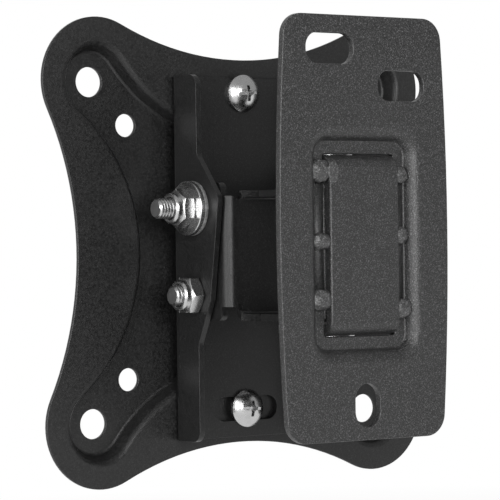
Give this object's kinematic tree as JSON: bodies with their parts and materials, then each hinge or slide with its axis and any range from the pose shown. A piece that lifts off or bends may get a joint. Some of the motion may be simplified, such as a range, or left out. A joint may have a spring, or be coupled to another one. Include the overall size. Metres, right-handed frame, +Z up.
{
  "type": "tv mount",
  "caption": "Small tilting and swivelling wall mount for a flat screen: a slotted wall plate, a swivel bracket and a tilting channel carry a lobed screen plate.",
  "frame": {"origin": "centre of the wall plate, on the face that lies on the wall", "axes": "+Y points away from the wall towards the screen, +Z up, +X to the right as seen from the wall side"},
  "size_m": [0.1376, 0.0677, 0.1376],
  "materials": {
    "black_coat": "semi-matte black powder coat with a fine texture",
    "zinc": "bright zinc plate",
    "grey_nylon": "dull",
    "clear_nylon": "dull",
    "nut_insert": "dull"
  },
  "bodies": {
    "wall": {"wall_plate": "black_coat", "wall_bracket": "black_coat", "weld_beads": "black_coat", "swivel_bolt": "zinc", "swivel_head_washer": "zinc", "swivel_spacer": "zinc", "swivel_upper_pad": "clear_nylon", "swivel_lower_pad": "clear_nylon", "swivel_nut_washer": "zinc", "swivel_nut": "zinc", "swivel_nut_insert": "nut_insert"},
    "swivel": {"tilt_bracket": "black_coat", "pivot_bolt": "zinc", "pivot_head_washer": "zinc", "pivot_liners": "clear_nylon", "pivot_nut": "zinc", "pivot_nut_insert": "nut_insert", "lock_bolt": "zinc", "lock_head_washer": "zinc", "lock_nut_washer": "zinc", "lock_pads": "grey_nylon", "lock_liners": "clear_nylon", "lock_nut": "zinc", "lock_nut_insert": "nut_insert"},
    "channel": {"channel_bracket": "black_coat"},
    "screen": {"screen_plate": "black_coat", "top_screw": "zinc", "bottom_screw": "zinc", "top_clinch_nut": "zinc", "bottom_clinch_nut": "zinc"}
  },
  "joints": [
    {"name": "swivel", "type": "hinge", "parent": "wall", "child": "swivel", "pos_m": [0, 0.019, -0.0048], "axis": [0, 0, 1], "range_deg": [-45, 45]},
    {"name": "tilt", "type": "hinge", "parent": "swivel", "child": "channel", "pos_m": [0, 0.0499, -0.0189], "axis": [1, 0, 0], "range_deg": [-10, 10]},
    {"name": "level", "type": "hinge", "parent": "channel", "child": "screen", "pos_m": [0, 0.0615, 0.0411], "axis": [0, 1, 0], "range_deg": [-5, 5]}
  ]
}
